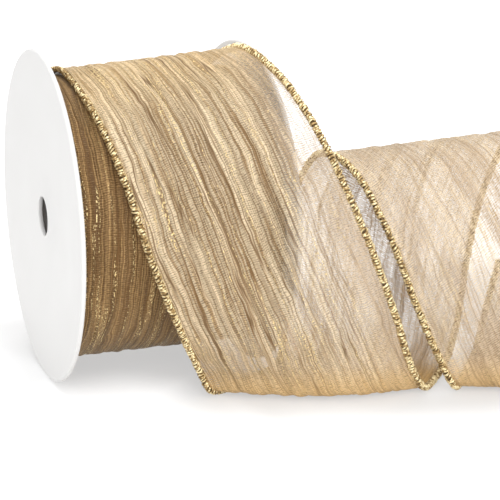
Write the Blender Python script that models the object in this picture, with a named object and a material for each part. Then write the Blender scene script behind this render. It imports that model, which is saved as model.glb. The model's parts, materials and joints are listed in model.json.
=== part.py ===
"""Spool of wired sheer ribbon with its free end curled out in standing loops.

Lengths are in millimetres until a mesh is made, where they become metres.
The spool's axis lies along X, the floor is z = 0 and the ribbon leaves over the front, towards -Y.
"""
import math

import bpy
import numpy as np
from mathutils import Vector

MM = 0.001

# Clearances
SEAT_GAP = 0.3
FLOOR_GAP = 0.2

# Ribbon
RIBBON_WIDTH = 63.5
CLOTH_THICKNESS = 0.6
CRINKLE_HEIGHT = 0.35
CRINKLE_WAVES = 2
EDGE_DIAMETER = 1.8
EDGE_WALL = 0.35
WIRE_DIAMETER = 0.5

# Spool
FLANGE_RADIUS = 55.0
FLANGE_THICKNESS = 1.6
RIM_ROUNDING = 0.5
RIM_STAND = 6.5
SIDE_CLEARANCE = 2.45
BORE_RADIUS = 6.6
HUB_FLAT_RADIUS = 26.0
DISH_START_RADIUS = 46.0
DISH_DEPTH = 1.2
CORE_RADIUS = 19.0
CORE_WALL = 1.2
SPIGOT_WALL = 1.6
SPIGOT_LENGTH = 8.0
TAPE_THICKNESS = 0.3
TAPE_LENGTH = 40.0
TAPE_ANGLE = 40.0

# Outer turn of the winding
TURN_START = -350.0
TURN_END = -90.0
TURN_STEP_ANGLE = 26.0
TURN_GAP = 0.6
TURN_SHIFT = -1.6

# Facets
ROUND_SIDES = 72
RIM_STEPS = 3
TAPE_STEPS = 8
SHARP_ANGLE = 35.0
STEPS_PER_SPAN = 3
CLOTH_SEGMENTS = 8
EDGE_SIDES = 6
WIRE_SIDES = 4

# The strip that leaves the roll, one row for each line across the ribbon:
# angle past the top, lift off the roll and sideways shift, for the left edge and then the right edge
STRIP = (
    ((-50.0, 0.0, 1.5), (-50.0, 1.5, -1.0)),
    ((0.0, 0.0, 3.0), (13.0, 7.5, -2.4)),
    ((39.0, 0.2, 6.9), (36.0, 11.9, 3.6)),
    ((67.0, 0.3, 12.0), (60.0, 16.2, 9.6)),
    ((95.0, 1.9, 18.2), (84.5, 21.7, 17.8)),
    ((120.0, 7.9, 27.6), (106.5, 27.4, 28.3)),
    ((137.5, 13.4, 36.6), (123.0, 30.6, 38.0)),
)

# The standing loops, one row for each line across the ribbon: left edge and right edge,
# each as distance along the axis, distance behind the axis and height
LOOPS = (
    ((9.7, -41.8, 1.2), (75.7, -62.3, 1.2)),
    ((22.0, -35.5, 0.7), (85.5, -53.0, 0.7)),
    ((37.8, -28.5, 3.2), (97.0, -39.5, 3.2)),
    ((43.0, -22.0, 15.0), (107.0, -27.0, 12.0)),
    ((45.5, -20.0, 37.0), (112.5, -22.0, 32.0)),
    ((44.5, -26.0, 60.0), (115.5, -26.5, 57.0)),
    ((50.0, -33.0, 75.0), (120.0, -38.0, 79.0)),
    ((54.0, -52.0, 73.0), (124.0, -57.0, 76.0)),
    ((60.5, -65.0, 55.0), (130.0, -70.0, 57.0)),
    ((69.0, -69.0, 31.5), (138.0, -74.0, 33.0)),
    ((79.0, -66.5, 12.0), (147.5, -71.5, 13.0)),
    ((85.8, -65.2, 1.2), (154.0, -70.0, 1.2)),
    ((96.3, -53.0, 0.7), (163.5, -57.5, 0.7)),
    ((104.0, -45.5, 5.2), (172.0, -48.5, 5.2)),
    ((110.5, -40.0, 18.0), (179.0, -42.0, 19.0)),
    ((116.0, -38.0, 34.0), (184.0, -40.0, 36.0)),
)

# Sizes that follow
FLAT_SHARE = math.cos(math.pi / ROUND_SIDES)
AXIS_HEIGHT = FLANGE_RADIUS * FLAT_SHARE
HALF_GAP = RIBBON_WIDTH / 2 + SIDE_CLEARANCE
HUB_INNER = HALF_GAP - DISH_DEPTH
EDGE_RADIUS = EDGE_DIAMETER / 2
EDGE_REACH = SEAT_GAP + EDGE_RADIUS
TURN_RADIUS = FLANGE_RADIUS - RIM_STAND
TURN_PITCH = EDGE_DIAMETER + TURN_GAP
PACK_RADIUS = TURN_RADIUS - TURN_PITCH - EDGE_RADIUS - TURN_GAP
TAPE_RADIUS = CORE_RADIUS + SEAT_GAP
PACK_BORE_RADIUS = TAPE_RADIUS + TAPE_THICKNESS + SEAT_GAP
CORE_BORE_RADIUS = CORE_RADIUS - CORE_WALL
SPIGOT_RADIUS = CORE_BORE_RADIUS - SEAT_GAP
FLOOR_LIFT = EDGE_RADIUS + FLOOR_GAP


def clear_scene():
    for old in list(bpy.data.objects):
        bpy.data.objects.remove(old)


def material(name, colour, roughness, metallic=0.0):
    made = bpy.data.materials.new(name)
    made.use_nodes = True
    shader = made.node_tree.nodes["Principled BSDF"]
    shader.inputs["Base Color"].default_value = (*colour, 1.0)
    shader.inputs["Roughness"].default_value = roughness
    shader.inputs["Metallic"].default_value = metallic
    return made


def add_object(name, points, faces, finish, parent):
    mesh = bpy.data.meshes.new(name)
    mesh.from_pydata([tuple(MM * value for value in point) for point in points], [], faces)
    mesh.validate()
    mesh.shade_smooth()
    mesh.set_sharp_from_angle(angle=math.radians(SHARP_ANGLE))
    mesh.materials.append(finish)
    made = bpy.data.objects.new(name, mesh)
    made.parent = parent
    bpy.context.scene.collection.objects.link(made)
    return made


def ring_faces(rings, sides):
    """Quads between neighbouring closed rings of points."""
    faces = []
    for ring in range(rings - 1):
        for side in range(sides):
            here = ring * sides + side
            ahead = ring * sides + (side + 1) % sides
            faces.append((here, ahead, ahead + sides, here + sides))
    return faces


def turned(name, profile, finish, parent):
    """Solid turned about the spool's axis from a closed profile of (along the axis, radius)."""
    count = len(profile)
    points = []
    for side in range(ROUND_SIDES):
        angle = 2 * math.pi * (side + 0.5) / ROUND_SIDES
        for along, radius in profile:
            points.append((along, radius * math.sin(angle), -radius * math.cos(angle)))
    faces = ring_faces(ROUND_SIDES, count)
    last = (ROUND_SIDES - 1) * count
    for corner in range(count):
        ahead = (corner + 1) % count
        faces.append((last + corner, last + ahead, ahead, corner))
    made = add_object(name, points, faces, finish, parent)
    point_outwards(made)
    return made


def point_outwards(made):
    """Turn the faces over if the closed mesh is inside out."""
    mesh = made.data
    mesh.calc_loop_triangles()
    volume = 0.0
    for triangle in mesh.loop_triangles:
        a, b, c = (mesh.vertices[index].co for index in triangle.vertices)
        volume += a.dot(b.cross(c))
    if volume < 0:
        mesh.flip_normals()


def rim_corner(along, direction):
    """Quarter round at the rim, from the face at `along` towards the rim's flat."""
    centre_radius = FLANGE_RADIUS - RIM_ROUNDING
    centre_along = along + direction * RIM_ROUNDING
    corner = []
    for step in range(RIM_STEPS + 1):
        angle = math.pi / 2 * step / RIM_STEPS
        corner.append((centre_along - direction * RIM_ROUNDING * math.cos(angle),
                       centre_radius + RIM_ROUNDING * math.sin(angle)))
    return corner


def flange_profile(side):
    """Dished disc with a rounded rim and a spigot that plugs the core tube."""
    outer_rim = HALF_GAP + FLANGE_THICKNESS
    hub_outer = HUB_INNER + FLANGE_THICKNESS
    spigot_end = HUB_INNER - SPIGOT_LENGTH
    spigot_bore = SPIGOT_RADIUS - SPIGOT_WALL
    profile = [
        (hub_outer, BORE_RADIUS),
        (hub_outer, HUB_FLAT_RADIUS),
        (outer_rim, DISH_START_RADIUS),
    ]
    profile += rim_corner(outer_rim, -1)
    profile += reversed(rim_corner(HALF_GAP, 1))
    profile += [
        (HALF_GAP, DISH_START_RADIUS),
        (HUB_INNER, HUB_FLAT_RADIUS),
        (HUB_INNER, SPIGOT_RADIUS),
        (spigot_end, SPIGOT_RADIUS),
        (spigot_end, spigot_bore),
        (HUB_INNER, spigot_bore),
        (HUB_INNER, BORE_RADIUS),
    ]
    return [(side * along, radius) for along, radius in profile]


def tube_profile(half_length, radius, bore_radius):
    return [
        (half_length, bore_radius),
        (half_length, radius),
        (-half_length, radius),
        (-half_length, bore_radius),
    ]


def make_tape(finish, parent):
    """Curved patch of tape that holds the ribbon's inner end on the core."""
    half_length = TAPE_LENGTH / 2
    section = (
        (half_length, TAPE_RADIUS),
        (half_length, TAPE_RADIUS + TAPE_THICKNESS),
        (-half_length, TAPE_RADIUS + TAPE_THICKNESS),
        (-half_length, TAPE_RADIUS),
    )
    points = []
    for step in range(TAPE_STEPS + 1):
        angle = math.radians(TAPE_ANGLE * (step / TAPE_STEPS - 0.5))
        for along, radius in section:
            points.append((along, radius * math.sin(angle), radius * math.cos(angle)))
    faces = ring_faces(TAPE_STEPS + 1, len(section))
    last = TAPE_STEPS * len(section)
    faces.append((3, 2, 1, 0))
    faces.append((last, last + 1, last + 2, last + 3))
    made = add_object("inner_end_tape", points, faces, finish, parent)
    point_outwards(made)


def round_axis(angle, radius, along):
    """Point at an angle past the top, turning over the front, at a radius from the spool's axis."""
    turn = math.radians(angle)
    return (along, -radius * math.sin(turn), AXIS_HEIGHT + radius * math.cos(turn))


def edge_stations():
    """Lines across the ribbon from the start of the outer turn to the cut end, as left and right points."""
    half = RIBBON_WIDTH / 2 - EDGE_RADIUS
    stations = []
    turns = round((TURN_END - TURN_START) / TURN_STEP_ANGLE)
    for step in range(turns + 1):
        angle = TURN_START + step * (TURN_END - TURN_START) / turns
        radius = TURN_RADIUS + TURN_PITCH * angle / 360.0
        left = round_axis(angle, radius, TURN_SHIFT - half)
        right = round_axis(angle, radius, TURN_SHIFT + half)
        stations.append((left, right))
    for (angle_l, lift_l, shift_l), (angle_r, lift_r, shift_r) in STRIP:
        left = round_axis(angle_l, TURN_RADIUS + lift_l, shift_l - half)
        right = round_axis(angle_r, TURN_RADIUS + lift_r, shift_r + half)
        stations.append((left, right))
    for left, right in LOOPS:
        stations.append(((*left[:2], left[2] + FLOOR_LIFT), (*right[:2], right[2] + FLOOR_LIFT)))
    return np.array(stations)


def smooth_edges(stations):
    """Both edge lines as one smooth curve through the stations, with a shared step along the ribbon."""
    chords = np.linalg.norm(np.diff(stations, axis=0), axis=2).mean(axis=1)
    steps = np.concatenate(([0.0], np.cumsum(chords)))
    slopes = np.empty_like(stations)
    slopes[1:-1] = (stations[2:] - stations[:-2]) / (steps[2:] - steps[:-2])[:, None, None]
    slopes[0] = 2 * (stations[1] - stations[0]) / chords[0] - slopes[1]
    slopes[-1] = 2 * (stations[-1] - stations[-2]) / chords[-1] - slopes[-2]
    points = []
    for span in range(len(chords)):
        for step in range(STEPS_PER_SPAN):
            t = step / STEPS_PER_SPAN
            points.append(
                (2 * t**3 - 3 * t**2 + 1) * stations[span]
                + (t**3 - 2 * t**2 + t) * chords[span] * slopes[span]
                + (3 * t**2 - 2 * t**3) * stations[span + 1]
                + (t**3 - t**2) * chords[span] * slopes[span + 1]
            )
    points.append(stations[-1])
    return np.array(points)


def unit(vectors):
    return vectors / np.linalg.norm(vectors, axis=-1, keepdims=True)


def cloth_inset(path, across):
    """Distance from an edge line to the cloth along the line across, which may meet the edge at a slant."""
    slant = np.sum(unit(np.gradient(path, axis=0)) * across, axis=1, keepdims=True)
    return EDGE_REACH / np.sqrt(1 - slant**2)


def make_cloth(edges, finish, parent):
    """Cloth between the two edge lines, with its lengthwise crinkles, as a thin closed solid."""
    across = unit(edges[:, 1] - edges[:, 0])
    left = edges[:, 0] + cloth_inset(edges[:, 0], across) * across
    right = edges[:, 1] - cloth_inset(edges[:, 1], across) * across
    shares = np.linspace(0.0, 1.0, CLOTH_SEGMENTS + 1)
    middle = left[:, None] * (1 - shares[None, :, None]) + right[:, None] * shares[None, :, None]
    along = np.gradient(middle, axis=0)
    outwards = unit(np.cross(along, across[:, None, :]))
    wave = CRINKLE_HEIGHT * np.sin(2 * math.pi * CRINKLE_WAVES * shares)
    middle = middle + wave[None, :, None] * outwards
    top = middle + CLOTH_THICKNESS / 2 * outwards
    bottom = middle - CLOTH_THICKNESS / 2 * outwards
    section = np.concatenate([top, bottom[:, ::-1]], axis=1)
    make_swept("ribbon_cloth", section, finish, parent)


def make_swept(name, sections, finish, parent):
    """Closed solid through a row of closed sections, with a cap at each end."""
    rings, sides, _ = sections.shape
    faces = ring_faces(rings, sides)
    last = (rings - 1) * sides
    half = sides // 2
    for corner in range(half - 1):
        pair = sides - 1 - corner
        faces.append((corner, pair, pair - 1, corner + 1))
        faces.append((last + corner + 1, last + pair - 1, last + pair, last + corner))
    made = add_object(name, sections.reshape(-1, 3).tolist(), faces, finish, parent)
    point_outwards(made)


def tube_rings(path, across, radius, sides):
    """Rings of points round a path, each square to the path."""
    along = unit(np.gradient(path, axis=0))
    first = unit(across - along * np.sum(along * across, axis=1, keepdims=True))
    second = np.cross(along, first)
    turns = 2 * math.pi * (np.arange(sides) + 0.5) / sides
    return (path[:, None]
            + radius * np.cos(turns)[None, :, None] * first[:, None]
            + radius * np.sin(turns)[None, :, None] * second[:, None])


def make_edge(side_name, path, across, thread, metal, parent):
    """Hollow thread edge with its wire inside."""
    outer = tube_rings(path, across, EDGE_RADIUS, EDGE_SIDES)
    bore = tube_rings(path, across, EDGE_RADIUS - EDGE_WALL, EDGE_SIDES)
    rings = len(path)
    faces = ring_faces(rings, EDGE_SIDES)
    shift = rings * EDGE_SIDES
    faces += [tuple(shift + index for index in reversed(face)) for face in ring_faces(rings, EDGE_SIDES)]
    last = (rings - 1) * EDGE_SIDES
    for side in range(EDGE_SIDES):
        ahead = (side + 1) % EDGE_SIDES
        faces.append((side, shift + side, shift + ahead, ahead))
        faces.append((last + ahead, shift + last + ahead, shift + last + side, last + side))
    points = np.concatenate([outer, bore]).reshape(-1, 3).tolist()
    made = add_object(side_name + "_edge_thread", points, faces, thread, parent)
    point_outwards(made)
    wire = tube_rings(path, across, WIRE_DIAMETER / 2, WIRE_SIDES)
    make_swept(side_name + "_edge_wire", wire, metal, parent)


def print_least_gap(edges):
    """Least clear distance between turns of the ribbon's edge, apart from neighbours along it."""
    least = math.inf
    for path in (edges[:, 0], edges[:, 1]):
        lengths = np.concatenate(([0.0], np.cumsum(np.linalg.norm(np.diff(path, axis=0), axis=1))))
        far = np.abs(lengths[:, None] - lengths[None, :]) > RIBBON_WIDTH
        apart = np.linalg.norm(path[:, None] - path[None, :], axis=2)
        least = min(least, apart[far].min())
    print("least gap between turns, mm:", round(least - EDGE_DIAMETER, 2))


def bottom_centre(objects):
    """Middle of the whole object's box, at its lowest point."""
    bpy.context.view_layer.update()
    corners = [made.matrix_world @ Vector(corner) for made in objects for corner in made.bound_box]
    low = [min(corner[axis] for corner in corners) for axis in range(3)]
    high = [max(corner[axis] for corner in corners) for axis in range(3)]
    return ((low[0] + high[0]) / 2, (low[1] + high[1]) / 2, low[2])


def main():
    clear_scene()
    white = material("white_flange", (0.87, 0.86, 0.85), 0.45)
    card = material("core_card", (0.55, 0.44, 0.31), 0.9)
    paper = material("tape_paper", (0.82, 0.78, 0.68), 0.7)
    organza = material("gold_organza", (0.62, 0.45, 0.22), 0.5)
    thread = material("gold_thread", (0.48, 0.34, 0.14), 0.4, 0.4)
    metal = material("edge_wire_metal", (0.62, 0.46, 0.24), 0.35, 1.0)

    base = bpy.data.objects.new("ribbon_spool_base", None)
    bpy.context.scene.collection.objects.link(base)
    axle = bpy.data.objects.new("spool_axis", None)
    axle.parent = base
    axle.location = (0.0, 0.0, AXIS_HEIGHT * MM)
    bpy.context.scene.collection.objects.link(axle)

    turned("left_flange", flange_profile(-1), white, axle)
    turned("right_flange", flange_profile(1), white, axle)
    turned("core_tube", tube_profile(HUB_INNER - SEAT_GAP, CORE_RADIUS, CORE_BORE_RADIUS), card, axle)
    turned("ribbon_pack", tube_profile(RIBBON_WIDTH / 2, PACK_RADIUS, PACK_BORE_RADIUS), organza, axle)
    make_tape(paper, axle)

    edges = smooth_edges(edge_stations())
    across = unit(edges[:, 1] - edges[:, 0])
    make_cloth(edges, organza, base)
    make_edge("left", edges[:, 0], across, thread, metal, base)
    make_edge("right", edges[:, 1], across, thread, metal, base)
    print_least_gap(edges)

    solids = [made for made in bpy.data.objects if made.type == "MESH"]
    centre = bottom_centre(solids)
    base.location = (-centre[0], -centre[1], -centre[2])
    bpy.context.view_layer.update()


main()
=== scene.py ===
"""Looks of the ribbon spool: white flanges, wound gold roll, sheer crinkled ribbon with corded edges.

Lengths are in millimetres in the spool's own frame (axis along X, floor at z = 0) until a mesh is made,
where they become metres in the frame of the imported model.
"""
import json
import math

import bpy
import numpy as np
from mathutils import Matrix, Vector


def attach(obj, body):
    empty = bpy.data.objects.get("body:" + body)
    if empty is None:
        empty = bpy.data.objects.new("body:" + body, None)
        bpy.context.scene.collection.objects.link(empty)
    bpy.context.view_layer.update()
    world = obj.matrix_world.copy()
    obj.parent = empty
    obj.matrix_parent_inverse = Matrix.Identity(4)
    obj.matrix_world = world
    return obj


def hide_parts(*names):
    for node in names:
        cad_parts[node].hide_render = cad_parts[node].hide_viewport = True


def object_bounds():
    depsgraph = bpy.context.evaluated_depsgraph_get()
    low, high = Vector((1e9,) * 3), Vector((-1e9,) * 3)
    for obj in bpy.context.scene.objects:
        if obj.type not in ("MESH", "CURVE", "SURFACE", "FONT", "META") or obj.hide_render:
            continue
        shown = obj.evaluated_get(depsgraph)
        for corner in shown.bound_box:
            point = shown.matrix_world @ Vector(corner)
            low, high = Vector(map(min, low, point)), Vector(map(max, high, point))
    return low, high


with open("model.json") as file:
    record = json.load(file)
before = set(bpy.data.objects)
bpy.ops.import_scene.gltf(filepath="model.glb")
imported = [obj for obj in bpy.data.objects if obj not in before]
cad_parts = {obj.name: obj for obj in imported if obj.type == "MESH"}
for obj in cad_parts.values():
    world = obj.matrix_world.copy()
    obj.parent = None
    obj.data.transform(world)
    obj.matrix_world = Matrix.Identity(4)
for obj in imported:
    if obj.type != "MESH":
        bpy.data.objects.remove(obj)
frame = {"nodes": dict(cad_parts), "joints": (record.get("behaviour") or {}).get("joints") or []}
cad_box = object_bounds()

MM = 0.001
FULL_TURN = 2 * math.pi
RNG = np.random.default_rng(531)

# Sizes shared with the solids
RIBBON_WIDTH = 63.5
EDGE_DIAMETER = 1.8
FLANGE_RADIUS = 55.0
FLANGE_THICKNESS = 1.6
RIM_STAND = 6.5
SIDE_CLEARANCE = 2.45
BORE_RADIUS = 6.6
HUB_FLAT_RADIUS = 26.0
DISH_START_RADIUS = 46.0
DISH_DEPTH = 1.2
CORE_BORE_RADIUS = 17.8
SEAT_GAP = 0.3
SPIGOT_WALL = 1.6
SPIGOT_LENGTH = 8.0
PACK_BORE_RADIUS = 19.9
TURN_GAP = 0.6
FLOOR_GAP = 0.1
FLOOR_LIFT = 1.1
SOLID_SIDES = 72

AXIS_HEIGHT = FLANGE_RADIUS * math.cos(math.pi / SOLID_SIDES)
HALF_GAP = RIBBON_WIDTH / 2 + SIDE_CLEARANCE
HUB_INNER = HALF_GAP - DISH_DEPTH
EDGE_RADIUS = EDGE_DIAMETER / 2
TURN_RADIUS = FLANGE_RADIUS - RIM_STAND
TURN_PITCH = EDGE_DIAMETER + TURN_GAP
PACK_RADIUS = TURN_RADIUS - TURN_PITCH - EDGE_RADIUS - TURN_GAP

# The outer turn starts a little further back than in the solids, hidden under itself
TURN_START = -385.0
TURN_END = -90.0
TURN_STEP_ANGLE = 29.5
TURN_SHIFT = -1.6
TURN_STEPS = round((TURN_END - TURN_START) / TURN_STEP_ANGLE)

# The strip that leaves the roll, left and right edge: angle past the top, lift off the roll,
# and shift along the axis from where the edge of a centred ribbon is
STRIP = (
    ((-50.0, 0.0, 1.5), (-50.0, 1.5, -1.0)),
    ((0.0, 0.0, 3.0), (13.0, 7.5, -2.4)),
    ((39.0, 0.2, 6.9), (36.0, 11.9, 3.6)),
    ((67.0, 0.3, 12.0), (60.0, 16.2, 9.6)),
    ((95.0, 1.9, 18.2), (84.5, 21.7, 17.8)),
    ((120.0, 7.9, 27.6), (106.5, 27.4, 28.3)),
    ((137.5, 13.4, 36.6), (123.0, 30.6, 38.0)),
)

# The standing loops, left and right edge: distance along the axis, distance behind the axis, height
LOOPS = (
    ((9.7, -41.8, 1.2), (75.7, -62.3, 1.2)),
    ((22.0, -35.5, 0.7), (85.5, -53.0, 0.7)),
    ((37.8, -28.5, 3.2), (97.0, -39.5, 3.2)),
    ((43.0, -22.0, 15.0), (107.0, -27.0, 12.0)),
    ((45.5, -20.0, 37.0), (112.5, -22.0, 32.0)),
    ((44.5, -26.0, 60.0), (115.5, -26.5, 57.0)),
    ((50.0, -33.0, 75.0), (120.0, -38.0, 79.0)),
    ((54.0, -52.0, 73.0), (124.0, -57.0, 76.0)),
    ((60.5, -65.0, 55.0), (130.0, -70.0, 57.0)),
    ((69.0, -69.0, 31.5), (138.0, -74.0, 33.0)),
    ((79.0, -66.5, 12.0), (147.5, -71.5, 13.0)),
    ((85.8, -65.2, 1.2), (154.0, -70.0, 1.2)),
    ((96.3, -53.0, 0.7), (163.5, -57.5, 0.7)),
    ((104.0, -45.5, 5.2), (172.0, -48.5, 5.2)),
    ((110.5, -40.0, 18.0), (179.0, -42.0, 19.0)),
    ((116.0, -38.0, 34.0), (184.0, -40.0, 36.0)),
)

# Cloth mesh
CLOTH_STEPS = 26
CLOTH_SEGMENTS = 112
EDGE_TAPER = 4.0

# Crinkles: widths of the waves across the ribbon, and how fast the narrow ones get lower
CRINKLE_HEIGHT = 0.42
CRINKLE_WAVES = (9.0, 6.1, 4.3, 3.1, 2.3)
CRINKLE_FALL = 0.6

# How the crinkles wander: share of a wave, and the shortest and longest stretch along the ribbon
SLOW_SWAY = (0.35, 55.0, 120.0)
QUICK_SWAY = (0.15, 21.0, 38.0)
FADE = (0.4, 40.0, 90.0)
SWAY_SLANT = 5.0
FADE_SLANT = 7.0

# Rows of the strip and the loops, counted through both tables, between which a form or look comes and
# goes: two rows where it starts and is full, and two more where it lessens and ends. A belly, where the
# cloth swells out in front, also has its reach.
BELLIES = (((4, 7, 8, 9), 7.0), ((14, 18, 19, 20), 9.0))
LEAVING_ROWS = (-1, 1)
PAINTED_ROLL_SHADE_ROWS = (3, 5, 6, 7)
SLACK_ROWS = (5, 8)
CALM_ROWS = (0, 3)
WINDOW_ROWS = (1, 2, 3, 4)
CLEAR_ROWS = (3, 4, 5, 6)
RIM_ROWS = (1, 3)
FOLD_ROWS = (3, 5)
INSIDE_ROWS = (8, 9, 14, 17)
FREE_ROWS = {"left_edge": (0, 3), "right_edge": (-1, 1)}

# The same across the ribbon, as shares of its width from the left edge
PAINTED_ROLL_SHADE_SHARES = (0.4, 0.7)
CALM_SHARES = (0.66, 0.92)
WINDOW_SHARES = (0.82, 0.93)
CLEAR_SHARES = (0.42, 0.62, 0.82, 0.95)

# How dense the cloth looks: over the rim, painted shade over the shaded roll, clear, high up, less inside
# a loop as painted light, on the floor
RIM_FOLD = 1.3
PAINTED_ROLL_SHADE_AMOUNT = 0.26
CLEAR_AMOUNT = 0.5
HIGH_FOLD = 0.4
INSIDE_PAINTED_LIGHT = 0.8
FLOOR_FOLD = 0.7
FLOOR_FOLD_HEIGHTS = (3.0, 17.0)
LYING_SLOPES = (0.25, 0.95)

# Edge cord mesh: thread wound over a core, pressed flatter where it lies on the roll
CORD_RADIUS = 1.28
PRESSED_SHARE = 0.6
THREAD_RADIUS = 0.33
CORE_INSET = 1.3
CORE_RADIUS = CORD_RADIUS - CORE_INSET * THREAD_RADIUS
STITCH_PITCH = 0.85
STITCH_STEPS = 11
STITCH_LEAN = 0.42
THREAD_SIDES = 5
CORE_SIDES = 8
CORE_RINGS = slice(None, None, STITCH_STEPS)
# Painted shade: brightness share of the cord where it lies pressed on the roll
PRESSED_SHADE = 0.4

# Unevenness of the stitches: amount, and length along the cord
COIL_UNEVEN = (0.10, 5.3)
LEAN_UNEVEN = (2.0, 23.0)
PLACE_UNEVEN = (0.15, 3.1)
THREAD_UNEVEN = (0.16, 4.1)
UNEVEN_SHARES = (1.0, 0.57, 0.31, 0.17)

# Wound roll mesh
ROLL_STEPS = 300
ROLL_SEGMENTS = 110
ROLL_CRINKLE = 0.19
ROLL_INSET = 0.38
ROLL_SWAY = 1.6
ROLL_BENDS = (2, 6)
ROLL_RADIUS = 44.8
ROLL_HALF_WIDTH = 33.6
ROLL_LAYERS = 26
ROLL_GROOVE = 0.25

# Flange mesh
FLANGE_STEPS = 192
FLANGE_ROUNDING = 0.25
BORE_TURN = 0.3
DISH_POINTS = 9
RIM_POINTS = 11
SHARP_ANGLE = 50.0

# Camera, in the spool's frame
CAMERA_PLACE = (-147.3, -494.2, 176.2)
CAMERA_YAW = 20.615
CAMERA_DROP = 14.816
CAMERA_LENS = 112.49
CAMERA_SENSOR = 36.0
CAMERA_CLIP = 0.05

# Floor, in metres in the imported frame: lines before the roll and before the strip, from which a painted
# shadow on the floor fades out
ROLL_FRONT = ((-0.090, 0.010), (-0.060, -0.006))
STRIP_FRONT = ((-0.062, -0.028), (-0.050, -0.039), (0.020, -0.064))
CORNER_FADE = 1.6
SHADOW_REACH = 0.04
FLOOR_HALF = 4.0
FLOOR_LIT = (0.86, 0.86, 0.86)
FLOOR_SEEN = (0.42, 0.42, 0.42)
# Glow of the floor for the camera close in and beyond the reach: lower close in, as painted shadow
FLOOR_GLOW = (0.50, 0.90)

# Strength of the world as light on the object and as background
WORLD_STRENGTH = (0.5, 1.0)

# Lamps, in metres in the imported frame: place, point they shine at, width and power
LAMPS = {
    "overhead": ((-0.1, 0.4, 1.2), (0.0, 0.0, 0.05), 1.0, 9.0),
    "front_left": ((-0.35, -1.05, 0.5), (0.0, 0.0, 0.05), 0.8, 5.5),
    "front_right": ((0.6, -0.95, 0.35), (0.0, 0.0, 0.05), 0.8, 4.0),
    "left_side": ((-1.1, -0.2, 0.5), (-0.1, 0.0, 0.05), 0.6, 1.6),
}

# Colours, as linear light; in stops, each with the value of the noise where it stands
WHITE = (1.0, 1.0, 1.0)
PALE_GOLD = (1.0, 0.81, 0.55)
WARM_GOLD = (0.64, 0.39, 0.17)
LOOSE_BEIGE = (0.585, 0.448, 0.314)
FOLD_GOLD = (0.70, 0.435, 0.145)
# Brown of the gaps between weft threads, and of creases, partly as painted shade
CREASE_SHADE_AND_GAP_BROWN = (0.17, 0.085, 0.027)
WOUND_DARK = (0.095, 0.046, 0.015)
WOUND_LIGHT = (0.50, 0.31, 0.13)
BRIGHT_THREAD = (0.92, 0.72, 0.36)
CORD_STOPS = ((0.27, (0.08, 0.045, 0.013)), (0.46, (0.46, 0.30, 0.12)), (0.60, (1.0, 0.86, 0.52)))
FLANGE_STOPS = ((0.35, (0.795, 0.787, 0.775)), (0.65, (0.812, 0.804, 0.792)))
CARD_STOPS = ((0.3, (0.36, 0.26, 0.16)), (0.7, (0.56, 0.44, 0.30)))
PAPER_STOPS = ((0.3, (0.74, 0.69, 0.57)), (0.7, (0.84, 0.80, 0.70)))
WIRE_STOPS = ((0.3, (0.50, 0.36, 0.18)), (0.7, (0.66, 0.50, 0.28)))

# Roughness of the flange: two values of its noise, and the roughness at each
FLANGE_GLOSS = (0.3, 0.7, 0.36, 0.48)

# Marks in the cloth: length along the ribbon, width across it, and seed and detail of the noise
SWAY = (60.0, 20.0, 1.0, 2.0)
BAND = (110.0, 2.4, 2.0, 2.0)
CREASE = (130.0, 3.0, 3.0, 1.5)
HAIR = (50.0, 0.65, 4.0, 2.0)
BRIGHT_LINE = (130.0, 6.0, 5.0, 2.0)
SPECK = (0.9, 0.5, 6.0, 2.0)
WAVER = (12.0, 6.0, 7.0, 2.0)
WEFT_WAVE = (14.0, 5.0, 8.0, 2.0)
MOTTLE = (50.0, 12.0, 9.0, 2.0)
FINE_CREASE = (90.0, 1.5, 10.0, 1.0)
WEFT_GRAIN = (0.40, 1.5, 11.0, 2.0)
NOISE_ROUGHNESS = 0.55

# How far the marks are bent aside, in millimetres
SWAY_REACH = 4.0
WAVER_REACH = 2.2
WEFT_REACH = 2.4

# Noise values between which a mark sets in, and widths of the lines along a noise's middle value
BAND_RANGE = (0.46, 0.60)
HAIR_RANGE = (0.44, 0.60)
SPECK_RANGE = (0.54, 0.60)
MOTTLE_RANGE = (0.40, 0.62)
GRAIN_RANGE = (0.36, 0.64)
CREASE_LINE = 0.034
FINE_CREASE_LINE = 0.035
GLINT_LINE = 0.022
FINE_CREASE_SHARE = 0.6

# Weft threads: pitch in millimetres, depth of the plain wave and of its grain, and dark gaps between them
WEFT_PITCH = 0.74
WEFT_DEPTH = 0.75
GRAIN_DEPTH = 0.8
GAP_RANGE = (-1.2, 0.0)
GAP_SHARE = 0.42

# How strong a mark is in firm cloth and in slack cloth
SLACK_FACTORS = {"crease": (1.0, 0.5), "band": (1.0, 0.5), "hair": (1.0, 0.6), "glint": (1.0, 0.35)}
SLACK_GAP = (1.0, 0.6)
SLACK_WEFT = (0.09, 0.24)
PATCH_SHARES = (0.45, 0.9)

# How much each mark adds to the sheer cloth's cover, to its colours and to its relief
COVER_BASE = 0.53
COVER_WEIGHTS = {
    "band": 0.28, "crease": 0.40, "hair": -0.14, "weft_cover": 1.0, "loose": 0.22, "slack": -0.01,
    "fold": 0.60, "wound": 0.60, "glint": 0.5, "thin": -0.3,
}
TONE_WEIGHTS = {"hair": 0.75, "band": -0.40}
WINDING_BASE = 0.04
WINDING_WEIGHTS = {"band": 0.30, "hair": 0.50, "weft": 0.20}
RELIEF_BASE = 0.2
RELIEF_WEIGHTS = {"band": 0.30, "hair": 0.25, "mottle": 0.2, "weft": 0.05}
RELIEF_HEIGHT = 0.0012
SHEER_RELIEF = 0.8
ROLL_RELIEF = 0.9
# How far creases go brown: doubled cloth in fine pleats, and partly painted shade of the crinkles
SHEER_CREASE = 0.9
ROLL_CREASE = 0.85
FOLD_SHARE = 0.85
GLINT_METAL = 0.7

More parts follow.
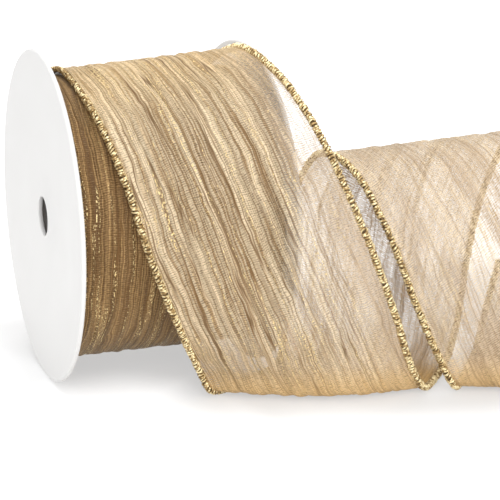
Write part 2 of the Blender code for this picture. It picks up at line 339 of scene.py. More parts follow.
# Specks of the edge cord: length in millimetres, change round a stitch, and their weight in its colour,
# with the weight of the painted shade where it is pressed
CORD_SPECK_LENGTH = 0.7
CORD_SPECK_TURN = 0.9
CORD_BASE = -0.22
CORD_WEIGHTS = {"painted_cord_shade": 0.24, "speck": 1.0}

# The spool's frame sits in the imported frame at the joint
spin = frame["joints"][0]
SHIFT = Vector(spin["pos_m"]) - Vector((0.0, 0.0, AXIS_HEIGHT * MM))


def to_frame(points):
    """Millimetres in the spool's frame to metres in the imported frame."""
    return np.asarray(points, float) * MM + np.array(SHIFT)


def unit(vectors):
    return vectors / np.linalg.norm(vectors, axis=-1, keepdims=True)


def smooth_step(values, low, high):
    share = np.clip((values - low) / (high - low), 0.0, 1.0)
    return share * share * (3 - 2 * share)


def smooth_band(values, start, full, lessen, end):
    """From 0 up to 1 and back to 0."""
    return smooth_step(values, start, full) * (1 - smooth_step(values, lessen, end))


# Mesh helpers

def grid_faces(rows, columns, close_columns=False, close_rows=False):
    """Quads of a grid of points stored row by row."""
    across = columns if close_columns else columns - 1
    along = rows if close_rows else rows - 1
    row, column = np.meshgrid(np.arange(along), np.arange(across), indexing="ij")
    here = row * columns
    ahead = (row + 1) % rows * columns
    beside = (column + 1) % columns
    corners = (here + column, here + beside, ahead + beside, ahead + column)
    return np.stack(corners, axis=-1).reshape(-1, 4)


def make_piece(name, points, faces, finish):
    """Mesh object with one material, from points in millimetres."""
    mesh = bpy.data.meshes.new(name)
    mesh.from_pydata(to_frame(points).tolist(), [], faces)
    mesh.validate()
    mesh.shade_smooth()
    mesh.materials.append(finish)
    piece = bpy.data.objects.new(name, mesh)
    bpy.context.scene.collection.objects.link(piece)
    return piece


def add_attribute(piece, name, values):
    """One number for each point, which the piece's material reads."""
    layer = piece.data.attributes.new(name, "FLOAT", "POINT")
    layer.data.foreach_set("value", np.asarray(values, np.float32).ravel())


def round_points(along, radius, turn):
    """Points at places along the spool's axis and radii from it, once for each angle of turn."""
    beside = radius * np.sin(turn)[:, None]
    height = AXIS_HEIGHT + radius * np.cos(turn)[:, None]
    return np.stack(np.broadcast_arrays(along, beside, height), axis=-1)


# The ribbon's two edge lines

def on_roll(angle, radius, along):
    """Point at an angle past the top of the roll, towards the side where the ribbon comes off."""
    turn = math.radians(angle)
    return (along, -radius * math.sin(turn), AXIS_HEIGHT + radius * math.cos(turn))


def edge_stations():
    """Points that the left and the right edge pass through, from the hidden start to the free end."""
    half = RIBBON_WIDTH / 2 - EDGE_RADIUS
    stations = []
    for step in range(TURN_STEPS + 1):
        angle = TURN_START + step * (TURN_END - TURN_START) / TURN_STEPS
        radius = TURN_RADIUS + TURN_PITCH * angle / 360.0
        left = on_roll(angle, radius, TURN_SHIFT - half)
        right = on_roll(angle, radius, TURN_SHIFT + half)
        stations.append((left, right))
    for (angle_l, lift_l, shift_l), (angle_r, lift_r, shift_r) in STRIP:
        left = on_roll(angle_l, TURN_RADIUS + lift_l, shift_l - half)
        right = on_roll(angle_r, TURN_RADIUS + lift_r, shift_r + half)
        stations.append((left, right))
    for left, right in LOOPS:
        stations.append(((*left[:2], left[2] + FLOOR_LIFT), (*right[:2], right[2] + FLOOR_LIFT)))
    return np.array(stations)


def smooth_edges(stations):
    """Both edge lines as one smooth curve through the stations, with a shared step along the ribbon."""
    chords = np.linalg.norm(np.diff(stations, axis=0), axis=2).mean(axis=1)
    steps = np.concatenate(([0.0], np.cumsum(chords)))
    slopes = np.empty_like(stations)
    slopes[1:-1] = (stations[2:] - stations[:-2]) / (steps[2:] - steps[:-2])[:, None, None]
    slopes[0] = 2 * (stations[1] - stations[0]) / chords[0] - slopes[1]
    slopes[-1] = 2 * (stations[-1] - stations[-2]) / chords[-1] - slopes[-2]
    points = []
    for part, chord in enumerate(chords):
        for step in range(CLOTH_STEPS):
            t = step / CLOTH_STEPS
            points.append(
                (2 * t**3 - 3 * t**2 + 1) * stations[part]
                + (t**3 - 2 * t**2 + t) * chord * slopes[part]
                + (3 * t**2 - 2 * t**3) * stations[part + 1]
                + (t**3 - t**2) * chord * slopes[part + 1]
            )
    points.append(stations[-1])
    return np.array(points)


def path_lengths(path):
    """Length along a path at each of its points."""
    return np.concatenate(([0.0], np.cumsum(np.linalg.norm(np.diff(path, axis=0), axis=1))))


def row_places(lengths, rows):
    """Lengths along the ribbon at rows of the strip and loop tables."""
    return [lengths[(TURN_STEPS + 1 + row) * CLOTH_STEPS] for row in rows]


def from_row(lengths, rows):
    """Column that goes from 0 to 1 between two rows of the strip and loop tables."""
    return smooth_step(lengths, *row_places(lengths, rows))[:, None]


def between_rows(lengths, rows):
    """Column that goes up to 1 between the first two rows and back to 0 between the last two."""
    return smooth_band(lengths, *row_places(lengths, rows))[:, None]


# Crinkles

def wave_share(wave):
    """Height of a wave beside the widest one's."""
    return (wave / CRINKLE_WAVES[0]) ** CRINKLE_FALL


def wander(length, reach, phase):
    """Slow wave along the ribbon, of a stretch drawn between two bounds."""
    size, shortest, longest = reach
    return size * np.sin(FULL_TURN * length / RNG.uniform(shortest, longest) + phase)


def crinkle_field(length, across):
    """Lengthwise wrinkles: waves across the ribbon whose place and height wander slowly along it."""
    total = np.zeros_like(across)
    for wave in CRINKLE_WAVES:
        phase, sway_phase, fade_phase = RNG.uniform(0, FULL_TURN, 3)
        sway = wander(length, SLOW_SWAY, sway_phase)
        sway = sway + wander(length, QUICK_SWAY, across / SWAY_SLANT)
        fade = 1 - FADE[0] + wander(length, FADE, fade_phase + across / FADE_SLANT)
        total += fade * wave_share(wave) * np.sin(FULL_TURN * (across / wave + sway) + phase)
    return CRINKLE_HEIGHT * total / math.sqrt(len(CRINKLE_WAVES))


# Node helpers

def new_material(name, roughness=0.5, metallic=0.0):
    made = bpy.data.materials.new(name)
    made.use_nodes = True
    shader = made.node_tree.nodes["Principled BSDF"]
    shader.inputs["Roughness"].default_value = roughness
    shader.inputs["Metallic"].default_value = metallic
    return made, made.node_tree, shader


def add_node(tree, kind, **settings):
    node = tree.nodes.new(kind)
    for key, value in settings.items():
        setattr(node, key, value)
    return node


def feed(tree, socket, value):
    """Set a socket to a number or a colour, or link it to another node's output."""
    if isinstance(value, bpy.types.NodeSocket):
        tree.links.new(value, socket)
    elif isinstance(value, tuple):
        socket.default_value = (*value, 1.0)
    else:
        socket.default_value = value


def math_node(tree, operation, *values):
    node = add_node(tree, "ShaderNodeMath", operation=operation)
    for socket, value in zip(node.inputs, values):
        feed(tree, socket, value)
    return node.outputs[0]


def times(tree, first, second):
    return math_node(tree, "MULTIPLY", first, second)


def larger(tree, first, second):
    return math_node(tree, "MAXIMUM", first, second)


def attribute(tree, name):
    return add_node(tree, "ShaderNodeAttribute", attribute_name=name).outputs["Fac"]


def vector(tree, x, y, z=0.0):
    node = add_node(tree, "ShaderNodeCombineXYZ")
    for socket, value in zip(node.inputs, (x, y, z)):
        feed(tree, socket, value)
    return node.outputs[0]


def vector_math(tree, operation, first, second=None):
    node = add_node(tree, "ShaderNodeVectorMath", operation=operation)
    tree.links.new(first, node.inputs[0])
    if second is not None:
        node.inputs[1].default_value = second
    return node.outputs["Value" if operation == "LENGTH" else "Vector"]


def noise(tree, place, scale=1.0, detail=2.0):
    node = add_node(tree, "ShaderNodeTexNoise")
    node.inputs["Scale"].default_value = scale
    node.inputs["Detail"].default_value = detail
    node.inputs["Roughness"].default_value = NOISE_ROUGHNESS
    tree.links.new(place, node.inputs["Vector"])
    return node.outputs["Fac"]


def ramp(tree, value, stops):
    node = add_node(tree, "ShaderNodeValToRGB")
    marks = node.color_ramp.elements
    while len(marks) < len(stops):
        marks.new(0.5)
    for mark, (position, colour) in zip(marks, stops):
        mark.position = position
        mark.color = (*colour, 1.0)
    tree.links.new(value, node.inputs["Fac"])
    return node.outputs["Color"]


def span(tree, value, low, high, to_low=0.0, to_high=1.0):
    """Value from low to high becomes to_low to to_high, clamped, with soft ends."""
    node = add_node(tree, "ShaderNodeMapRange", interpolation_type="SMOOTHSTEP")
    tree.links.new(value, node.inputs["Value"])
    limits = {"From Min": low, "From Max": high, "To Min": to_low, "To Max": to_high}
    for name, number in limits.items():
        node.inputs[name].default_value = number
    return node.outputs["Result"]


def mix_colour(tree, share, first, second):
    """First colour at share 0, second at share 1."""
    node = add_node(tree, "ShaderNodeMix", data_type="RGBA")
    feed(tree, node.inputs["Factor"], share)
    feed(tree, node.inputs["A"], first)
    feed(tree, node.inputs["B"], second)
    return node.outputs["Result"]


def bump(tree, shader, height, distance, strength):
    node = add_node(tree, "ShaderNodeBump")
    node.inputs["Distance"].default_value = distance
    node.inputs["Strength"].default_value = strength
    tree.links.new(height, node.inputs["Height"])
    tree.links.new(node.outputs["Normal"], shader.inputs["Normal"])


def weighted_sum(tree, base, marks, weights):
    """base plus each named mark times its weight, clamped to 0 to 1."""
    total = base
    for name, weight in weights.items():
        total = math_node(tree, "ADD", times(tree, marks[name], weight), total)
    total.node.use_clamp = True
    return total


# Marks in the cloth

def streaks(tree, place, mark):
    """Noise drawn out along the ribbon, with features of about the mark's length and width."""
    length, across = place
    long, wide, seed, detail = mark
    along = math_node(tree, "DIVIDE", length, long)
    beside = math_node(tree, "DIVIDE", across, wide)
    return noise(tree, vector(tree, along, beside, seed), detail=detail)


def shifted(tree, value, shift, reach):
    """Value moved by a noise times a reach in millimetres."""
    return math_node(tree, "ADD", value, times(tree, shift, reach))


def contour(tree, value, width):
    """Thin lines where a noise passes its middle value."""
    off = math_node(tree, "ABSOLUTE", math_node(tree, "SUBTRACT", value, 0.5))
    return span(tree, off, 0.0, width, 1.0, 0.0)


def eased(tree, value, slack, factors):
    """Value times a factor for firm cloth that changes to one for slack cloth."""
    return times(tree, value, span(tree, slack, 0.0, 1.0, *factors))


def weft_lines(tree, place):
    """Uneven lines of the threads across the ribbon: above zero a thread, below zero a gap."""
    length = place[0]
    pick = shifted(tree, length, streaks(tree, place, WEFT_WAVE), WEFT_REACH)
    wave = math_node(tree, "SINE", times(tree, pick, FULL_TURN / WEFT_PITCH))
    grain = span(tree, streaks(tree, place, WEFT_GRAIN), *GRAIN_RANGE, -GRAIN_DEPTH, GRAIN_DEPTH)
    return math_node(tree, "ADD", times(tree, wave, WEFT_DEPTH), grain)


def ribbon_marks(tree):
    """Tone bands, creases, hair lines, metallic glints, weft lines and mottle of all the gold cloth."""
    length = attribute(tree, "length_mm")
    across = attribute(tree, "across_mm")
    across = shifted(tree, across, streaks(tree, (length, across), SWAY), SWAY_REACH)
    across = shifted(tree, across, streaks(tree, (length, across), WAVER), WAVER_REACH)
    place = (length, across)
    crease = contour(tree, streaks(tree, place, CREASE), CREASE_LINE)
    fine_crease = contour(tree, streaks(tree, place, FINE_CREASE), FINE_CREASE_LINE)
    bright_line = contour(tree, streaks(tree, place, BRIGHT_LINE), GLINT_LINE)
    speck = span(tree, streaks(tree, place, SPECK), *SPECK_RANGE)
    return {
        "band": span(tree, streaks(tree, place, BAND), *BAND_RANGE),
        "crease": larger(tree, crease, times(tree, fine_crease, FINE_CREASE_SHARE)),
        "hair": span(tree, streaks(tree, place, HAIR), *HAIR_RANGE),
        "glint": times(tree, bright_line, speck),
        "weft": weft_lines(tree, place),
        "mottle": span(tree, streaks(tree, place, MOTTLE), *MOTTLE_RANGE),
    }


# Materials

def gold_sheen(shader):
    """Soft gold lustre of fine threads, in place of a white gloss."""
    shader.inputs["Specular IOR Level"].default_value = 0.2
    shader.inputs["Sheen Weight"].default_value = 0.2
    shader.inputs["Sheen Roughness"].default_value = 0.4
    shader.inputs["Sheen Tint"].default_value = (*BRIGHT_THREAD, 1.0)


def finish_cloth(tree, shader, marks, colour, relief_strength):
    """Glints over the colour, lustre and relief, as loose and wound cloth share them."""
    colour = mix_colour(tree, marks["glint"], colour, BRIGHT_THREAD)
    tree.links.new(colour, shader.inputs["Base Color"])
    tree.links.new(times(tree, marks["glint"], GLINT_METAL), shader.inputs["Metallic"])
    gold_sheen(shader)
    relief = weighted_sum(tree, RELIEF_BASE, marks, RELIEF_WEIGHTS)
    bump(tree, shader, relief, RELIEF_HEIGHT, relief_strength)


def winding_colour(tree, marks):
    """Brown to gold of cloth that lies many layers deep."""
    share = weighted_sum(tree, WINDING_BASE, marks, WINDING_WEIGHTS)
    return mix_colour(tree, share, WOUND_DARK, WOUND_LIGHT)


def organza_colour(tree, marks):
    """Pale to warm gold, beige where slack, deep gold in folds, brown where wound and as painted shade
    over the roll, brown in weft gaps and in creases, the creases partly as painted shade.
    """
    tone = weighted_sum(tree, 0.0, marks, TONE_WEIGHTS)
    colour = mix_colour(tree, tone, PALE_GOLD, WARM_GOLD)
    patch = times(tree, marks["slack"], span(tree, marks["mottle"], 0.0, 1.0, *PATCH_SHARES))
    colour = mix_colour(tree, patch, colour, LOOSE_BEIGE)
    colour = mix_colour(tree, times(tree, marks["fold"], FOLD_SHARE), colour, FOLD_GOLD)
    # The wound attribute also holds the painted shade over the roll's shaded lower part
    colour = mix_colour(tree, marks["wound"], colour, winding_colour(tree, marks))
    gap = span(tree, marks["weft"], *GAP_RANGE, GAP_SHARE, 0.0)
    gap = eased(tree, gap, marks["slack"], SLACK_GAP)
    # Dark weft gaps, and creases that go brown as doubled cloth and partly as painted shade of the
    # crinkles
    dark_line = larger(tree, gap, times(tree, marks["crease"], SHEER_CREASE))
    return mix_colour(tree, dark_line, colour, CREASE_SHADE_AND_GAP_BROWN)


def organza_material():
    made, tree, shader = new_material("gold_organza_sheer", roughness=0.45)
    marks = ribbon_marks(tree)
    for name in ("fold", "thin", "wound", "slack"):
        marks[name] = attribute(tree, name)
    for name, factors in SLACK_FACTORS.items():
        marks[name] = eased(tree, marks[name], marks["slack"], factors)
    marks["weft_cover"] = eased(tree, marks["weft"], marks["slack"], SLACK_WEFT)
    marks["loose"] = times(tree, marks["slack"], marks["mottle"])
    cover = weighted_sum(tree, COVER_BASE, marks, COVER_WEIGHTS)
    tree.links.new(cover, shader.inputs["Alpha"])
    finish_cloth(tree, shader, marks, organza_colour(tree, marks), SHEER_RELIEF)
    return made


def roll_material():
    made, tree, shader = new_material("gold_organza_wound", roughness=0.5)
    marks = ribbon_marks(tree)
    colour = winding_colour(tree, marks)
    # Creases go brown, partly as painted shade of the crinkles
    colour = mix_colour(tree, times(tree, marks["crease"], ROLL_CREASE), colour, CREASE_SHADE_AND_GAP_BROWN)
    finish_cloth(tree, shader, marks, colour, ROLL_RELIEF)
    return made


def cord_material():
    made, tree, shader = new_material("gold_edge_cord", roughness=0.34, metallic=0.5)
    along = math_node(tree, "DIVIDE", attribute(tree, "length_mm"), CORD_SPECK_LENGTH)
    around = times(tree, attribute(tree, "around"), CORD_SPECK_TURN)
    speck = noise(tree, vector(tree, along, around))
    # Colour darker where the cord lies pressed on the roll, as painted shade
    marks = {"painted_cord_shade": attribute(tree, "painted_cord_shade"), "speck": speck}
    light = weighted_sum(tree, CORD_BASE, marks, CORD_WEIGHTS)
    tree.links.new(ramp(tree, light, CORD_STOPS), shader.inputs["Base Color"])
    bump(tree, shader, speck, distance=0.0003, strength=0.6)
    return made


def object_noise(tree, scale, detail):
    """Noise that is fixed to the piece."""
    place = add_node(tree, "ShaderNodeTexCoord").outputs["Object"]
    return noise(tree, place, scale, detail)


def flange_material():
    made, tree, shader = new_material("white_flange_satin")
    mottle = object_noise(tree, scale=90.0, detail=4.0)
    grain = object_noise(tree, scale=1400.0, detail=2.0)
    tree.links.new(ramp(tree, mottle, FLANGE_STOPS), shader.inputs["Base Color"])
    tree.links.new(span(tree, mottle, *FLANGE_GLOSS), shader.inputs["Roughness"])
    bump(tree, shader, grain, distance=0.00004, strength=0.5)
    return made


def card_material():
    made, tree, shader = new_material("core_card_raw", roughness=0.9)
    fibre = object_noise(tree, scale=420.0, detail=5.0)
    tree.links.new(ramp(tree, fibre, CARD_STOPS), shader.inputs["Base Color"])
    bump(tree, shader, fibre, distance=0.0002, strength=0.6)
    return made


def paper_material():
    made, tree, shader = new_material("tape_paper_matt", roughness=0.7)
    crepe = object_noise(tree, scale=600.0, detail=3.0)
    tree.links.new(ramp(tree, crepe, PAPER_STOPS), shader.inputs["Base Color"])
    bump(tree, shader, crepe, distance=0.0001, strength=0.5)
    return made


def wire_material():
    made, tree, shader = new_material("edge_wire_drawn", roughness=0.35, metallic=1.0)
    scratch = object_noise(tree, scale=900.0, detail=2.0)
    tree.links.new(ramp(tree, scratch, WIRE_STOPS), shader.inputs["Base Color"])
    return made


# The sheer cloth

def fold_amount(lengths, heights, slopes):
    """How much the cloth looks doubled: where it lies flat, near the floor and over the roll's top."""
    lying = smooth_step(np.abs(slopes), *LYING_SLOPES)
    lying = lying * np.where(heights > AXIS_HEIGHT, HIGH_FOLD, 1.0)
    lying = np.maximum(lying, FLOOR_FOLD * (1 - smooth_step(heights, *FLOOR_FOLD_HEIGHTS)))
    # Painted light: the fold's cover and deep gold are lowered inside the loops, which lightens their
    # shaded inner side
    in_loops = from_row(lengths, FOLD_ROWS) * (1 - INSIDE_PAINTED_LIGHT * between_rows(lengths, INSIDE_ROWS))
    over_rim = RIM_FOLD * (1 - from_row(lengths, RIM_ROWS))
    return lying * (in_loops + over_rim)


def add_cloth_zones(piece, lengths, shares):
    """Where the cloth is wound or darkened by painted shade over the roll, slack or calm, and thin or
    clear.
    """
    wound = 1 - from_row(lengths, LEAVING_ROWS)
    # Painted shade: the strip's lower left, where the roll behind it is in shadow, takes on the darker
    # wound look
    on_left = 1 - smooth_step(shares, *PAINTED_ROLL_SHADE_SHARES)
    painted_roll_shade = PAINTED_ROLL_SHADE_AMOUNT * between_rows(lengths, PAINTED_ROLL_SHADE_ROWS) * on_left
    add_attribute(piece, "wound", np.maximum(wound, painted_roll_shade))
    slack = from_row(lengths, SLACK_ROWS)
    calm = from_row(lengths, CALM_ROWS) * smooth_step(shares, *CALM_SHARES)
    add_attribute(piece, "slack", np.maximum(slack, calm))
    thin = between_rows(lengths, WINDOW_ROWS) * smooth_step(shares, *WINDOW_SHARES)
    clear = CLEAR_AMOUNT * between_rows(lengths, CLEAR_ROWS) * smooth_band(shares, *CLEAR_SHARES)
    add_attribute(piece, "thin", np.maximum(thin, clear))


def make_cloth(edges, finish):
    """Sheer cloth from edge cord to edge cord, with its crinkles as real relief."""
    shares = np.linspace(0.0, 1.0, CLOTH_SEGMENTS + 1)
    left = edges[:, 0]
    right = edges[:, 1]
    middle = left[:, None] * (1 - shares[:, None]) + right[:, None] * shares[:, None]
    length = path_lengths(left)[:, None] * (1 - shares) + path_lengths(right)[:, None] * shares
    mean_lengths = length.mean(axis=1)
    for rows, reach in BELLIES:
        middle[..., 1] -= reach * between_rows(mean_lengths, rows) * np.sin(math.pi * shares)
    across = np.broadcast_to(shares * RIBBON_WIDTH, length.shape)
    outwards = unit(np.cross(np.gradient(middle, axis=0), unit(right - left)[:, None]))
    taper = smooth_step(across, 0, EDGE_TAPER) * smooth_step(RIBBON_WIDTH - across, 0, EDGE_TAPER)
    relief = crinkle_field(length, across) * taper
    points = middle + relief[..., None] * outwards
    piece = make_piece("sheer_ribbon", points.reshape(-1, 3), grid_faces(*length.shape).tolist(), finish)
    add_attribute(piece, "length_mm", length)
    add_attribute(piece, "across_mm", across)
    add_attribute(piece, "fold", fold_amount(mean_lengths, middle[..., 2], outwards[..., 2]))
    add_cloth_zones(piece, mean_lengths, shares)
    return piece


# The edge cords

def square_to(along, side):
    """Directions nearest to side that are square to along."""
    return unit(side - along * np.sum(along * side, axis=1, keepdims=True))


def tube_points(path, side, radius, sides):
    """Rings of points round a path, each square to the path; the radius varies along it."""
    along = unit(np.gradient(path, axis=0))
    first = square_to(along, side)
    second = np.cross(along, first)
    turn = FULL_TURN * np.arange(sides) / sides
    first_part = (radius[:, None] * np.cos(turn))[..., None] * first[:, None]
    second_part = (radius[:, None] * np.sin(turn))[..., None] * second[:, None]
    return path[:, None] + first_part + second_part


def tube_faces(rows, sides, start):
    """Faces of a tube with closed ends, whose points begin at a given number."""
    faces = (grid_faces(rows, sides, close_columns=True) + start).tolist()
    faces.append([start + corner for corner in reversed(range(sides))])
    faces.append([start + (rows - 1) * sides + corner for corner in range(sides)])
    return faces


def uneven(places, unevenness):
    """Irregular wave along the cord, of a given amount and length."""
    amount, reach = unevenness
    total = np.zeros_like(places)
    for share in UNEVEN_SHARES:
        total += np.sin(FULL_TURN * places / (reach * share) + RNG.uniform(0, FULL_TURN))
    return amount * total / 2


def sampled(values, lengths, places):
    """Points or directions of a path, at places along it."""
    return np.stack([np.interp(places, lengths, values[:, axis]) for axis in range(3)], axis=1)


def coiled_thread(centre, along, first, places, turn, pressed):
    """Path of a thread that is wound round the cord, with uneven stitches."""
    second = np.cross(along, first)
    coil = (CORD_RADIUS - THREAD_RADIUS) * (1 + uneven(places, COIL_UNEVEN)) * pressed
    lean = STITCH_LEAN * np.sin(turn + uneven(places, LEAN_UNEVEN))
    lean = STITCH_PITCH * (lean + uneven(places, PLACE_UNEVEN))
    beside = (coil * np.cos(turn))[:, None] * first + (coil * np.sin(turn))[:, None] * second
    return centre + lean[:, None] * along + beside


def thread_then_core(on_thread, on_core):
    """One value for each point of a cord, from values for each ring of its thread and its core."""
    return np.concatenate([np.repeat(on_thread, THREAD_SIDES), np.repeat(on_core, CORE_SIDES)])


def cord_rings(centre, side, places, turn, pressed):
    """Rings of points round a cord's thread and round its core."""
    along = unit(np.gradient(centre, axis=0))
    first = square_to(along, side)
    thread = coiled_thread(centre, along, first, places, turn, pressed)
    thickness = THREAD_RADIUS * (1 + uneven(places, THREAD_UNEVEN)) * pressed
    wound = tube_points(thread, along, thickness, THREAD_SIDES)
    core_radius = CORE_RADIUS * pressed[CORE_RINGS]
    core = tube_points(centre[CORE_RINGS], first[CORE_RINGS], core_radius, CORE_SIDES)
    return wound, core


def make_cord(name, path, across, free_rows, finish):
    """Overlocked edge: thread wound unevenly over a core that holds the wire."""
    lengths = path_lengths(path)
    steps = int(lengths[-1] / STITCH_PITCH) * STITCH_STEPS
    places = np.linspace(0.0, lengths[-1], steps + 1)
    turn = FULL_TURN * np.arange(steps + 1) / STITCH_STEPS
    free = smooth_step(places, *row_places(lengths, free_rows))
    pressed = PRESSED_SHARE + (1 - PRESSED_SHARE) * free
    centre = sampled(path, lengths, places)
    side = sampled(across, lengths, places)
    wound, core = cord_rings(centre, side, places, turn, pressed)
    points = np.concatenate([wound.reshape(-1, 3), core.reshape(-1, 3)])
    points[:, 2] = np.maximum(points[:, 2], FLOOR_GAP)
    faces = tube_faces(len(wound), THREAD_SIDES, 0)
    faces += tube_faces(len(core), CORE_SIDES, len(wound) * THREAD_SIDES)
    piece = make_piece(name, points, faces, finish)
    nothing = np.zeros(len(core))
    # Painted shade: the cord is darker where it lies pressed on the roll
    shade = PRESSED_SHADE + (1 - PRESSED_SHADE) * free
    add_attribute(piece, "length_mm", thread_then_core(places, places[CORE_RINGS]))
    add_attribute(piece, "around", thread_then_core(turn, nothing))
    add_attribute(piece, "painted_cord_shade", thread_then_core(shade, nothing))
    return piece


# The wound roll

def roll_relief(turn, across):
    """Lengthwise wrinkles that close up round the roll."""
    relief = np.zeros_like(across)
    for wave in CRINKLE_WAVES:
        phase, sway_phase = RNG.uniform(0, FULL_TURN, 2)
        bends = RNG.integers(*ROLL_BENDS)
        sway = ROLL_SWAY * np.sin(bends * turn[:, None] + sway_phase)
        relief = relief + wave_share(wave) * np.sin(FULL_TURN * across / wave + phase + sway)
    return relief / math.sqrt(len(CRINKLE_WAVES))


def make_roll(finish):
    """Wound inner turns: crinkled outside, layered edges at both ends."""
    turn = FULL_TURN * np.arange(ROLL_STEPS) / ROLL_STEPS
    shares = np.linspace(0.0, 1.0, ROLL_SEGMENTS + 1)
    across = np.broadcast_to(shares * RIBBON_WIDTH, (ROLL_STEPS, ROLL_SEGMENTS + 1))
    radius = ROLL_RADIUS + ROLL_CRINKLE * roll_relief(turn, across)
    outside = round_points((2 * shares - 1) * ROLL_HALF_WIDTH, radius, turn)
    edges = np.arange(2 * ROLL_LAYERS)
    depth = np.linspace(ROLL_RADIUS - ROLL_INSET, PACK_BORE_RADIUS, len(edges))
    spread = (ROLL_HALF_WIDTH - RIBBON_WIDTH / 2) * smooth_step(depth, HUB_FLAT_RADIUS, ROLL_RADIUS)
    half_width = RIBBON_WIDTH / 2 + spread - ROLL_GROOVE * (edges % 2)
    right_end = round_points(half_width, depth, turn)
    left_end = round_points(-half_width[::-1], depth[::-1], turn)
    points = np.concatenate([outside, right_end, left_end], axis=1)
    columns = points.shape[1]
    faces = grid_faces(ROLL_STEPS, columns, close_columns=True, close_rows=True)
    piece = make_piece("wound_ribbon", points.reshape(-1, 3), faces.tolist(), finish)
    ends = np.broadcast_to(depth, (ROLL_STEPS, len(depth)))
    add_attribute(piece, "length_mm", np.repeat(turn * PACK_RADIUS, columns))
    add_attribute(piece, "across_mm", np.concatenate([across, ends, ends[:, ::-1]], axis=1))
    return piece


# The flanges

def rim_arc():
    """Half circle round the flange's rim, from its outer to its inner side."""
    radius = FLANGE_THICKNESS / 2
    arc = []
    for turn in np.radians(np.linspace(0, 180, RIM_POINTS)):
        along = HALF_GAP + radius + radius * math.cos(turn)
        arc.append((along, FLANGE_RADIUS - radius + radius * math.sin(turn)))
    return arc


def flange_outline():
    """Dished disc with a full round rim and a spigot, as a closed outline of (along the axis, radius)."""
    rim_outer = HALF_GAP + FLANGE_THICKNESS
    hub_outer = HUB_INNER + FLANGE_THICKNESS
    spigot_radius = CORE_BORE_RADIUS - SEAT_GAP
    spigot_bore = spigot_radius - SPIGOT_WALL
    spigot_end = HUB_INNER - SPIGOT_LENGTH
    edge = FLANGE_ROUNDING
    radii = np.linspace(HUB_FLAT_RADIUS, DISH_START_RADIUS, DISH_POINTS)
    dish = smooth_step(radii, HUB_FLAT_RADIUS, DISH_START_RADIUS) * DISH_DEPTH
    turned = BORE_TURN * edge
    outline = [(hub_outer - edge, BORE_RADIUS)]
    outline += [(hub_outer - turned, BORE_RADIUS + turned), (hub_outer, BORE_RADIUS + edge)]
    outline += list(zip(hub_outer + dish, radii))
    outline += [(rim_outer, FLANGE_RADIUS - steps * FLANGE_THICKNESS) for steps in (2, 1)]
    outline += rim_arc()
    outline += list(zip(HUB_INNER + dish[::-1], radii[::-1]))
    outline += [(HUB_INNER, spigot_radius + edge), (HUB_INNER - edge, spigot_radius)]
    outline += [(spigot_end, spigot_radius), (spigot_end, spigot_bore), (HUB_INNER, spigot_bore)]
    outline += [(HUB_INNER, BORE_RADIUS + edge), (HUB_INNER + edge, BORE_RADIUS)]
    return np.array(outline)


def make_flange(name, side, finish):
    """Flange on the left (side -1) or on the right (side 1)."""
    outline = flange_outline()
    turn = FULL_TURN * np.arange(FLANGE_STEPS) / FLANGE_STEPS
    points = round_points(side * outline[:, 0], outline[:, 1], turn)
    faces = grid_faces(FLANGE_STEPS, len(outline), close_columns=True, close_rows=True)
    if side < 0:
        faces = faces[:, ::-1]
    piece = make_piece(name, points.reshape(-1, 3), faces.tolist(), finish)
    piece.data.set_sharp_from_angle(angle=math.radians(SHARP_ANGLE))
    return piece


# Stage

def make_camera():
    data = bpy.data.cameras.new("camera")
    data.lens = CAMERA_LENS
    data.sensor_width = CAMERA_SENSOR
    data.clip_start = CAMERA_CLIP
    camera = bpy.data.objects.new("camera", data)
    yaw = math.radians(CAMERA_YAW)
    drop = math.radians(CAMERA_DROP)
    look = Vector((math.sin(yaw) * math.cos(drop), math.cos(yaw) * math.cos(drop), -math.sin(drop)))
    right = Vector((math.cos(yaw), -math.sin(yaw), 0.0))
    up = right.cross(look)
    turn = Matrix((right, up, -look)).transposed().to_4x4()
    camera.matrix_world = Matrix.Translation(Vector(to_frame(CAMERA_PLACE))) @ turn
    bpy.context.scene.collection.objects.link(camera)
    bpy.context.scene.camera = camera


def seen_by_camera(tree):
    """1 for what the camera sees, also in a reflection or through something clear, 0 for other light."""
    path = add_node(tree, "ShaderNodeLightPath").outputs
    seen = larger(tree, path["Is Camera Ray"], path["Is Glossy Ray"])
    return larger(tree, seen, path["Is Transmission Ray"])


def distance_in_front(tree, parts, front):
    """Distance on the floor in front of a line, nothing behind it."""
    line = front[0][1]
    for (start, near), (end, far) in zip(front, front[1:]):
        line = math_node(tree, "ADD", span(tree, parts["X"], start, end, 0.0, far - near), line)
    return larger(tree, math_node(tree, "SUBTRACT", line, parts["Y"]), 0.0)


def front_distance(tree, place):
    """Distance on the floor from the roll's front and from the strip's, whichever is nearer."""
    split = add_node(tree, "ShaderNodeSeparateXYZ")
    tree.links.new(place, split.inputs[0])
    parts = split.outputs
    from_roll = distance_in_front(tree, parts, ROLL_FRONT)
    beside = larger(tree, math_node(tree, "SUBTRACT", STRIP_FRONT[0][0], parts["X"]), 0.0)
    ahead = distance_in_front(tree, parts, STRIP_FRONT)
    from_strip = vector_math(tree, "LENGTH", vector(tree, times(tree, beside, CORNER_FADE), ahead))
    return math_node(tree, "MINIMUM", from_roll, from_strip)


def shadow_distance(tree):
    """Distance on the floor from the object's front lines or from the box round it, whichever is more; a
    painted shadow fades out over it.
    """
    place = add_node(tree, "ShaderNodeNewGeometry").outputs["Position"]
    corner = (cad_box[1][0], cad_box[1][1], 0.0)
    outside = vector_math(tree, "SUBTRACT", vector_math(tree, "ABSOLUTE", place), corner)
    from_box = vector_math(tree, "LENGTH", vector_math(tree, "MAXIMUM", outside, (0.0, 0.0, 0.0)))
    return larger(tree, from_box, front_distance(tree, place))


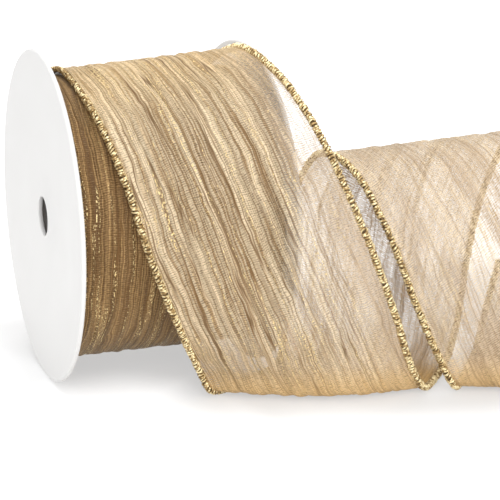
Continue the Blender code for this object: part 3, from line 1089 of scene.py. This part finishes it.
def floor_material():
    """White floor that keeps the object's shadow, with a painted shadow close in front of it, where its
    glow for the camera is lower.
    """
    made, tree, shader = new_material("floor_white", roughness=0.9)
    shader.inputs["Specular IOR Level"].default_value = 0.1
    shader.inputs["Emission Color"].default_value = (*WHITE, 1.0)
    seen = seen_by_camera(tree)
    tree.links.new(mix_colour(tree, seen, FLOOR_LIT, FLOOR_SEEN), shader.inputs["Base Color"])
    # Painted shadow: the floor's glow for the camera is lower close in front of the object
    glow = span(tree, shadow_distance(tree), 0.0, SHADOW_REACH, *FLOOR_GLOW)
    tree.links.new(times(tree, seen, glow), shader.inputs["Emission Strength"])
    return made


def make_floor():
    half = FLOOR_HALF
    corners = [(-half, -half, 0), (half, -half, 0), (half, half, 0), (-half, half, 0)]
    mesh = bpy.data.meshes.new("floor")
    mesh.from_pydata(corners, [], [(0, 1, 2, 3)])
    mesh.materials.append(floor_material())
    floor = bpy.data.objects.new("floor", mesh)
    bpy.context.scene.collection.objects.link(floor)


def make_world():
    world = bpy.data.worlds.new("studio")
    bpy.context.scene.world = world
    world.use_nodes = True
    tree = world.node_tree
    tree.nodes.clear()
    background = add_node(tree, "ShaderNodeBackground")
    background.inputs["Color"].default_value = (*WHITE, 1.0)
    strength = span(tree, seen_by_camera(tree), 0.0, 1.0, *WORLD_STRENGTH)
    tree.links.new(strength, background.inputs["Strength"])
    output = add_node(tree, "ShaderNodeOutputWorld")
    tree.links.new(background.outputs[0], output.inputs["Surface"])


def make_lamps():
    for name, (place, target, size, power) in LAMPS.items():
        data = bpy.data.lights.new(name, "AREA")
        data.shape = "DISK"
        data.size = size
        data.energy = power
        lamp = bpy.data.objects.new(name, data)
        lamp.location = place
        lamp.rotation_euler = (Vector(target) - Vector(place)).to_track_quat("-Z", "Y").to_euler()
        bpy.context.scene.collection.objects.link(lamp)


# Build

def fit(piece, body, node):
    """Put a piece on its body, in place of a solid."""
    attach(piece, body)
    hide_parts(node)


def coat(node, finish):
    """Give a solid that stays its material."""
    materials = frame["nodes"][node].data.materials
    materials.clear()
    materials.append(finish)


def dress_spool():
    white = flange_material()
    for name, side in (("left_flange", -1), ("right_flange", 1)):
        fit(make_flange(name + "_disc", side, white), "spool", name)
    fit(make_roll(roll_material()), "spool", "ribbon_pack")
    coat("core_tube", card_material())
    coat("inner_end_tape", paper_material())


def dress_ribbon():
    edges = smooth_edges(edge_stations())
    across = unit(edges[:, 1] - edges[:, 0])
    cloth = make_cloth(edges, organza_material())
    fit(cloth, "ribbon_tail", "ribbon_cloth")
    gold = cord_material()
    metal = wire_material()
    for side, (name, free_rows) in enumerate(FREE_ROWS.items()):
        cord = make_cord(name + "_cord", edges[:, side], across, free_rows, gold)
        fit(cord, "ribbon_tail", name + "_thread")
        coat(name + "_wire", metal)


make_camera()
dress_spool()
dress_ribbon()
make_floor()
make_world()
make_lamps()
bpy.context.scene.view_settings.view_transform = "Standard"
